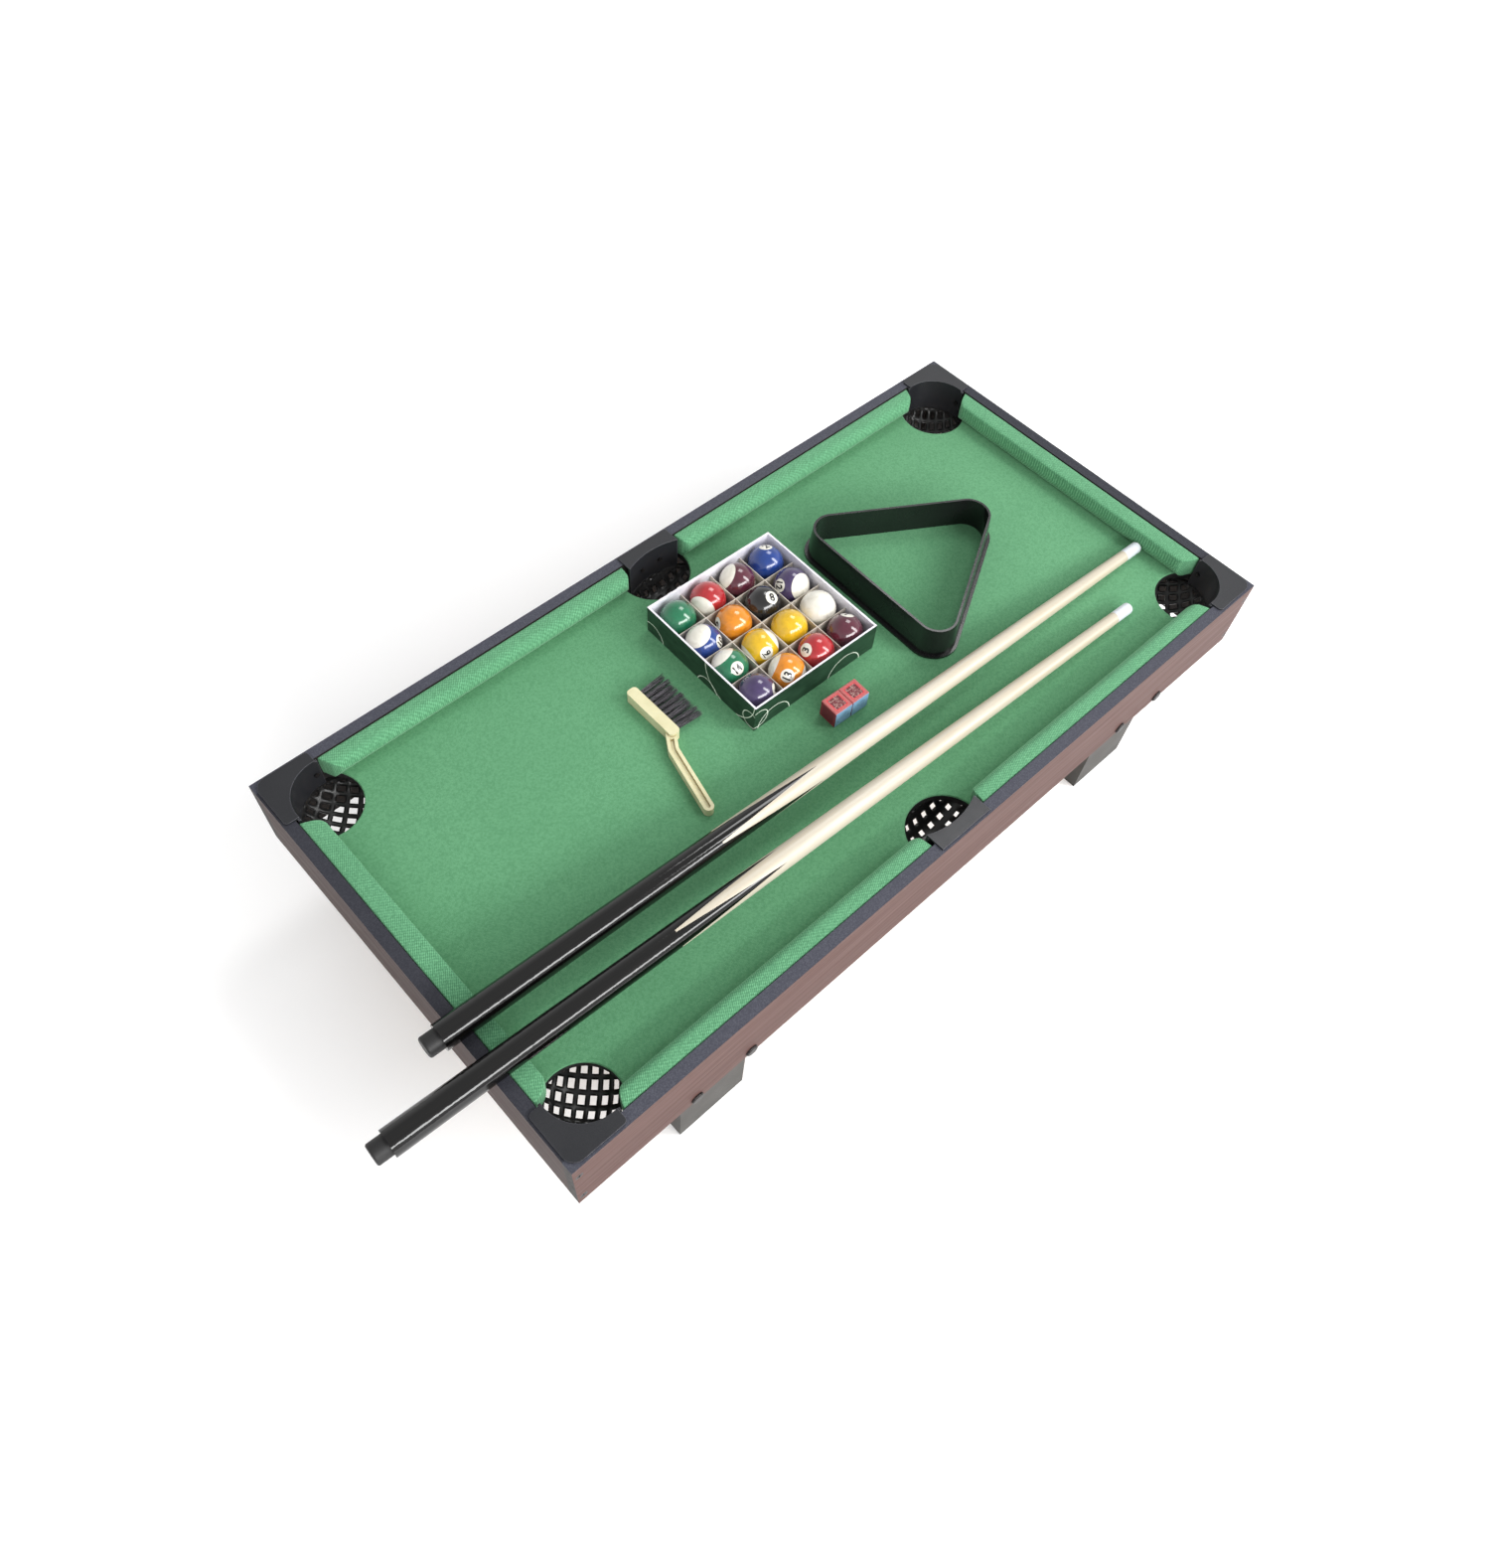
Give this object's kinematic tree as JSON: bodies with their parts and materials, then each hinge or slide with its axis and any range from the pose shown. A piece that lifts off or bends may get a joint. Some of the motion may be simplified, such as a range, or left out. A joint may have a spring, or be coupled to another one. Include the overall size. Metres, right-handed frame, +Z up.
{
  "type": "mini pool table",
  "caption": "Tabletop pool table on plank legs, with cushioned rails and basket pockets, and its balls, tray, rack, cues, brush and chalk lying on the bed.",
  "frame": {"origin": "on the floor plane that the legs stand on, under the middle of the table", "axes": "+Z up, +X along the table away from the cue butts, +Y across the table towards the ball tray's side"},
  "size_m": [1.0247, 0.47, 0.2343],
  "materials": {
    "walnut_board": "printed walnut grain, satin",
    "raw_board": "raw fibreboard",
    "green_cloth": "short napped cloth",
    "cushion": "rubber under green cloth",
    "black_plastic": "fine moulded texture",
    "basket_plastic": "moulded mesh",
    "grey_board": "dark grey laminate",
    "dark_steel": "blackened",
    "tray_card": "dark printed card, pale inside",
    "divider_card": "thin grey card",
    "ball_yellow": "polished",
    "ball_blue": "polished",
    "ball_red": "polished",
    "ball_purple": "polished",
    "ball_orange": "polished",
    "ball_green": "polished",
    "ball_maroon": "polished",
    "ball_black": "polished",
    "ball_white": "polished",
    "rack_plastic": "moulded",
    "bumper_rubber": "dull",
    "black_lacquer": "black gloss lacquer",
    "maple": "pale maple, satin",
    "white_ferrule": "white",
    "cream_plastic": "cream, satin",
    "bristle": "black bristle",
    "chalk": "pressed chalk in a paper wrap"
  },
  "bodies": {
    "table": {"side_panel_front": "walnut_board", "side_panel_back": "walnut_board", "end_panel_left": "walnut_board", "end_panel_right": "walnut_board", "bed_board": "raw_board", "bed_cloth": "green_cloth", "bed_cleats": "raw_board", "cushion_front_left": "cushion", "cushion_front_right": "cushion", "cushion_back_left": "cushion", "cushion_back_right": "cushion", "cushion_end_left": "cushion", "cushion_end_right": "cushion", "corner_cap_front_left": "black_plastic", "corner_cap_front_right": "black_plastic", "corner_cap_back_left": "black_plastic", "corner_cap_back_right": "black_plastic", "side_cap_front": "black_plastic", "side_cap_back": "black_plastic", "corner_baskets": "basket_plastic", "side_baskets": "basket_plastic", "leg_front_left": "grey_board", "leg_front_right": "grey_board", "leg_back_left": "grey_board", "leg_back_right": "grey_board", "leg_bolts": "dark_steel", "leg_nuts": "dark_steel", "panel_screws": "dark_steel", "cap_screws": "dark_steel"},
    "tray": {"ball_tray": "tray_card", "tray_divider": "divider_card"},
    "ball_01": {"ball_01": "ball_yellow"},
    "ball_02": {"ball_02": "ball_blue"},
    "ball_03": {"ball_03": "ball_red"},
    "ball_04": {"ball_04": "ball_purple"},
    "ball_05": {"ball_05": "ball_orange"},
    "ball_06": {"ball_06": "ball_green"},
    "ball_07": {"ball_07": "ball_maroon"},
    "ball_08": {"ball_08": "ball_black"},
    "ball_09": {"ball_09": "ball_yellow"},
    "ball_10": {"ball_10": "ball_blue"},
    "ball_11": {"ball_11": "ball_red"},
    "ball_12": {"ball_12": "ball_purple"},
    "ball_13": {"ball_13": "ball_orange"},
    "ball_14": {"ball_14": "ball_green"},
    "ball_15": {"ball_15": "ball_maroon"},
    "cue_ball": {"cue_ball": "ball_white"},
    "rack": {"rack": "rack_plastic"},
    "cue_1": {"cue_1_bumper": "bumper_rubber", "cue_1_butt": "black_lacquer", "cue_1_shaft": "maple", "cue_1_tip": "white_ferrule"},
    "cue_2": {"cue_2_bumper": "bumper_rubber", "cue_2_butt": "black_lacquer", "cue_2_shaft": "maple", "cue_2_tip": "white_ferrule"},
    "brush": {"brush_body": "cream_plastic", "brush_bristles": "bristle"},
    "chalk_1": {"chalk_1": "chalk"},
    "chalk_2": {"chalk_2": "chalk"}
  },
  "joints": [
    {"name": "tray_lift", "type": "slide", "parent": "table", "child": "tray", "axis": [0, 0, 1], "range_m": [0, 0.15]},
    {"name": "ball_01_lift", "type": "slide", "parent": "tray", "child": "ball_01", "axis": [0, 0, 1], "range_m": [0, 0.06]},
    {"name": "ball_02_lift", "type": "slide", "parent": "tray", "child": "ball_02", "axis": [0, 0, 1], "range_m": [0, 0.06]},
    {"name": "ball_03_lift", "type": "slide", "parent": "tray", "child": "ball_03", "axis": [0, 0, 1], "range_m": [0, 0.06]},
    {"name": "ball_04_lift", "type": "slide", "parent": "tray", "child": "ball_04", "axis": [0, 0, 1], "range_m": [0, 0.06]},
    {"name": "ball_05_lift", "type": "slide", "parent": "tray", "child": "ball_05", "axis": [0, 0, 1], "range_m": [0, 0.06]},
    {"name": "ball_06_lift", "type": "slide", "parent": "tray", "child": "ball_06", "axis": [0, 0, 1], "range_m": [0, 0.06]},
    {"name": "ball_07_lift", "type": "slide", "parent": "tray", "child": "ball_07", "axis": [0, 0, 1], "range_m": [0, 0.06]},
    {"name": "ball_08_lift", "type": "slide", "parent": "tray", "child": "ball_08", "axis": [0, 0, 1], "range_m": [0, 0.06]},
    {"name": "ball_09_lift", "type": "slide", "parent": "tray", "child": "ball_09", "axis": [0, 0, 1], "range_m": [0, 0.06]},
    {"name": "ball_10_lift", "type": "slide", "parent": "tray", "child": "ball_10", "axis": [0, 0, 1], "range_m": [0, 0.06]},
    {"name": "ball_11_lift", "type": "slide", "parent": "tray", "child": "ball_11", "axis": [0, 0, 1], "range_m": [0, 0.06]},
    {"name": "ball_12_lift", "type": "slide", "parent": "tray", "child": "ball_12", "axis": [0, 0, 1], "range_m": [0, 0.06]},
    {"name": "ball_13_lift", "type": "slide", "parent": "tray", "child": "ball_13", "axis": [0, 0, 1], "range_m": [0, 0.06]},
    {"name": "ball_14_lift", "type": "slide", "parent": "tray", "child": "ball_14", "axis": [0, 0, 1], "range_m": [0, 0.06]},
    {"name": "ball_15_lift", "type": "slide", "parent": "tray", "child": "ball_15", "axis": [0, 0, 1], "range_m": [0, 0.06]},
    {"name": "cue_ball_lift", "type": "slide", "parent": "tray", "child": "cue_ball", "axis": [0, 0, 1], "range_m": [0, 0.06]},
    {"name": "rack_lift", "type": "slide", "parent": "table", "child": "rack", "axis": [0, 0, 1], "range_m": [0, 0.12]},
    {"name": "cue_1_lift", "type": "slide", "parent": "table", "child": "cue_1", "axis": [0, 0, 1], "range_m": [0, 0.12]},
    {"name": "cue_2_lift", "type": "slide", "parent": "table", "child": "cue_2", "axis": [0, 0, 1], "range_m": [0, 0.12]},
    {"name": "brush_lift", "type": "slide", "parent": "table", "child": "brush", "axis": [0, 0, 1], "range_m": [0, 0.1]},
    {"name": "chalk_1_lift", "type": "slide", "parent": "table", "child": "chalk_1", "axis": [0, 0, 1], "range_m": [0, 0.1]},
    {"name": "chalk_2_lift", "type": "slide", "parent": "table", "child": "chalk_2", "axis": [0, 0, 1], "range_m": [0, 0.1]}
  ]
}
